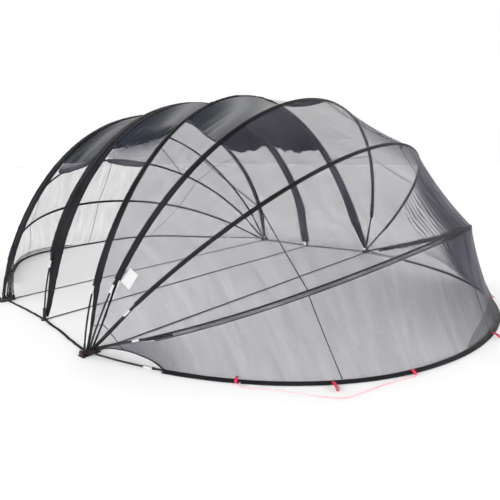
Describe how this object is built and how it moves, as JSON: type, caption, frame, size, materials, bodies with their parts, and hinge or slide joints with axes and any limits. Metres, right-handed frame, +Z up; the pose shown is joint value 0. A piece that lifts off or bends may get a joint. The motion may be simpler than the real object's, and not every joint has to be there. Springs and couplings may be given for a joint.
{
  "type": "pool dome",
  "caption": "Free-standing oval dome of mesh and cloth over bent poles, with a fan of folding hoops at each end that pivot on ground hubs and an open doorway side.",
  "frame": {"origin": "on the ground at the middle of the dome's outline", "axes": "+X along the length towards the front fan, +Y across to the far side with the closed walls, +Z up"},
  "size_m": [6.742, 5.16, 2.2695],
  "materials": {
    "pole": "black pultruded fibreglass rod",
    "hub": "black moulded plastic",
    "sleeve": "black woven polyester",
    "roof_cloth": "dark slate coated polyester",
    "mesh_cloth": "grey see-through net",
    "webbing": "black woven strap",
    "rope": "thin red braided rope",
    "ferrule": "plain metal pole joint",
    "peg": "red plastic and webbing",
    "tag": "blank white tag"
  },
  "bodies": {
    "base": {"front_hub_near": "hub", "front_hub_far": "hub", "rear_hub_near": "hub", "rear_hub_far": "hub", "middle_foot_near": "hub", "middle_foot_far": "hub", "rear_arch_pole": "pole", "rear_arch_sleeve": "sleeve", "middle_arch_pole": "pole", "middle_arch_sleeve": "sleeve", "main_arch_pole": "pole", "main_arch_sleeve": "sleeve", "rear_roof": "roof_cloth", "front_roof": "roof_cloth", "rear_wall_far": "mesh_cloth", "front_wall_far": "mesh_cloth", "rear_door_roll": "mesh_cloth", "front_door_roll": "mesh_cloth", "cross_strap_front": "webbing", "cross_strap_middle": "webbing", "cross_strap_rear": "webbing", "side_strap_rear_near": "webbing", "side_strap_front_near": "webbing", "side_strap_rear_far": "webbing", "side_strap_front_far": "webbing", "front_gore_1_near": "mesh_cloth", "front_gore_1_shade": "roof_cloth", "front_gore_1_far": "mesh_cloth", "rear_gore_1": "mesh_cloth"},
    "front_1": {"front_hoop_1_pole": "pole", "front_hoop_1_sleeve": "sleeve", "front_gore_2": "mesh_cloth"},
    "front_2": {"front_hoop_2_pole": "pole", "front_hoop_2_sleeve": "sleeve", "front_gore_3": "mesh_cloth"},
    "front_3": {"front_hoop_3_pole": "pole", "front_hoop_3_sleeve": "sleeve", "front_gore_4": "mesh_cloth"},
    "front_ground": {"front_ground_hoop_pole": "pole", "front_ground_hoop_hem": "sleeve", "guy_rope_near": "rope", "guy_rope_far": "rope"},
    "rear_1": {"rear_hoop_1_pole": "pole", "rear_hoop_1_sleeve": "sleeve", "rear_gore_2": "mesh_cloth"},
    "rear_2": {"rear_hoop_2_pole": "pole", "rear_hoop_2_sleeve": "sleeve", "rear_gore_3": "mesh_cloth"},
    "rear_3": {"rear_hoop_3_pole": "pole", "rear_hoop_3_sleeve": "sleeve", "rear_gore_4": "mesh_cloth"},
    "rear_ground": {"rear_ground_hoop_pole": "pole", "rear_ground_hoop_hem": "sleeve"}
  },
  "joints": [
    {"name": "front_fold", "type": "hinge", "parent": "base", "child": "front_1", "pos_m": [0.925, 0, 0.032], "axis": [0, -1, 0], "range_deg": [0, 18], "deforming": ["front_gore_1_near", "front_gore_1_shade", "front_gore_1_far"]},
    {"name": "front_fold_2", "type": "hinge", "parent": "front_1", "child": "front_2", "pos_m": [0.925, 0, 0.032], "axis": [0, -1, 0], "range_deg": [0, 19], "deforming": ["front_gore_2"]},
    {"name": "front_fold_3", "type": "hinge", "parent": "front_2", "child": "front_3", "pos_m": [0.925, 0, 0.032], "axis": [0, -1, 0], "range_deg": [0, 19.5], "deforming": ["front_gore_3"]},
    {"name": "front_fold_ground", "type": "hinge", "parent": "front_3", "child": "front_ground", "pos_m": [0.925, 0, 0.032], "axis": [0, -1, 0], "range_deg": [0, 13.5], "deforming": ["front_gore_4"]},
    {"name": "rear_fold", "type": "hinge", "parent": "base", "child": "rear_1", "pos_m": [-1.075, 0, 0.032], "axis": [0, 1, 0], "range_deg": [0, 8.5], "deforming": ["rear_gore_1"]},
    {"name": "rear_fold_2", "type": "hinge", "parent": "rear_1", "child": "rear_2", "pos_m": [-1.075, 0, 0.032], "axis": [0, 1, 0], "range_deg": [0, 16.5], "deforming": ["rear_gore_2"]},
    {"name": "rear_fold_3", "type": "hinge", "parent": "rear_2", "child": "rear_3", "pos_m": [-1.075, 0, 0.032], "axis": [0, 1, 0], "range_deg": [0, 20.5], "deforming": ["rear_gore_3"]},
    {"name": "rear_fold_ground", "type": "hinge", "parent": "rear_3", "child": "rear_ground", "pos_m": [-1.075, 0, 0.032], "axis": [0, 1, 0], "range_deg": [0, 13.5], "deforming": ["rear_gore_4"]}
  ],
  "couplings": [
    {"joint": "front_fold_2", "follows": "front_fold", "ratio": 1.0556},
    {"joint": "front_fold_3", "follows": "front_fold", "ratio": 1.0833},
    {"joint": "front_fold_ground", "follows": "front_fold", "ratio": 0.75},
    {"joint": "rear_fold_2", "follows": "rear_fold", "ratio": 1.9412},
    {"joint": "rear_fold_3", "follows": "rear_fold", "ratio": 2.4118},
    {"joint": "rear_fold_ground", "follows": "rear_fold", "ratio": 1.5882}
  ]
}
